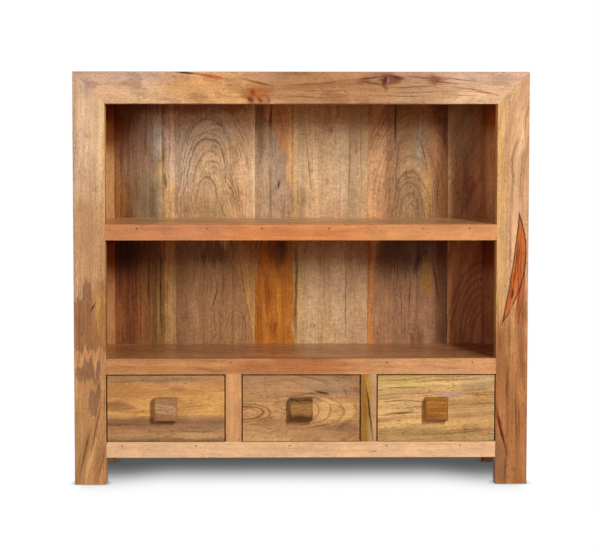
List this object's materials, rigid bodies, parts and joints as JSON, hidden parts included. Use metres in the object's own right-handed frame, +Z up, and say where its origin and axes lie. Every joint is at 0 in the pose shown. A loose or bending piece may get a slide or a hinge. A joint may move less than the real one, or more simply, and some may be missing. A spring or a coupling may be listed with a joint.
{
  "type": "bookcase with bottom drawers",
  "caption": "Low free-standing wooden bookcase: thick mitred front frame, open bays divided by a fixed shelf, boarded back, and a row of inset drawers with square knobs at the bottom.",
  "frame": {"origin": "on the floor, under the middle of the overall box, which includes the knobs at the front", "axes": "+X along the width to the right as seen from the front, +Y from the front to the back, +Z up"},
  "size_m": [1, 0.375, 0.91],
  "materials": {
    "post_wood": "satin lacquered mango wood, pale tan with brown heartwood",
    "rail_wood": "satin lacquered mango wood, tan with darker knots",
    "panel_wood": "satin lacquered mango wood",
    "back_board_wood": "satin lacquered mango wood, mixed brown boards",
    "shelf_wood": "satin lacquered mango wood, orange brown",
    "edge_wood": "satin lacquered mango wood, peach to orange",
    "drawer_front_wood": "satin lacquered mango wood, honey with grey-brown bands",
    "knob_wood": "satin lacquered mango wood, darker brown",
    "drawer_box_wood": "planed wood, thin lacquer",
    "drawer_bottom_board": "thin veneered board",
    "hidden_wood": "planed bare wood",
    "screw_steel": "zinc plated",
    "pin_steel": "dull steel, punched below the face"
  },
  "bodies": {
    "carcass": {"front_left_post": "post_wood", "front_right_post": "post_wood", "back_left_post": "post_wood", "back_right_post": "post_wood", "top_front_rail": "rail_wood", "top_back_rail": "rail_wood", "top_left_rail": "rail_wood", "top_right_rail": "rail_wood", "top_panel": "panel_wood", "lower_left_rail": "rail_wood", "lower_right_rail": "rail_wood", "lower_back_rail": "rail_wood", "left_side_panel": "panel_wood", "right_side_panel": "panel_wood", "back_board_1": "back_board_wood", "back_board_2": "back_board_wood", "back_board_3": "back_board_wood", "back_board_4": "back_board_wood", "back_board_5": "back_board_wood", "back_board_6": "back_board_wood", "shelf_board": "shelf_wood", "shelf_edge": "edge_wood", "deck_board": "shelf_wood", "deck_edge": "edge_wood", "bottom_board": "shelf_wood", "bottom_edge": "edge_wood", "edge_pins": "pin_steel", "divider_stile_1": "edge_wood", "divider_stile_2": "edge_wood", "divider_guide_1": "hidden_wood", "divider_guide_2": "hidden_wood", "left_guide": "hidden_wood", "right_guide": "hidden_wood", "drawer_kickers": "hidden_wood", "drawer_stops": "hidden_wood", "shelf_cleats": "hidden_wood", "deck_cleats": "hidden_wood", "bottom_cleats": "hidden_wood"},
    "drawer_1": {"drawer_1_front": "drawer_front_wood", "drawer_1_left_side": "drawer_box_wood", "drawer_1_right_side": "drawer_box_wood", "drawer_1_back": "drawer_box_wood", "drawer_1_bottom": "drawer_bottom_board", "drawer_1_knob": "knob_wood", "drawer_1_knob_screw": "screw_steel"},
    "drawer_2": {"drawer_2_front": "drawer_front_wood", "drawer_2_left_side": "drawer_box_wood", "drawer_2_right_side": "drawer_box_wood", "drawer_2_back": "drawer_box_wood", "drawer_2_bottom": "drawer_bottom_board", "drawer_2_knob": "knob_wood", "drawer_2_knob_screw": "screw_steel"},
    "drawer_3": {"drawer_3_front": "drawer_front_wood", "drawer_3_left_side": "drawer_box_wood", "drawer_3_right_side": "drawer_box_wood", "drawer_3_back": "drawer_box_wood", "drawer_3_bottom": "drawer_bottom_board", "drawer_3_knob": "knob_wood", "drawer_3_knob_screw": "screw_steel"}
  },
  "joints": [
    {"name": "drawer_1_slide", "type": "slide", "parent": "carcass", "child": "drawer_1", "axis": [0, -1, 0], "range_m": [0, 0.22]},
    {"name": "drawer_2_slide", "type": "slide", "parent": "carcass", "child": "drawer_2", "axis": [0, -1, 0], "range_m": [0, 0.22]},
    {"name": "drawer_3_slide", "type": "slide", "parent": "carcass", "child": "drawer_3", "axis": [0, -1, 0], "range_m": [0, 0.22]}
  ]
}
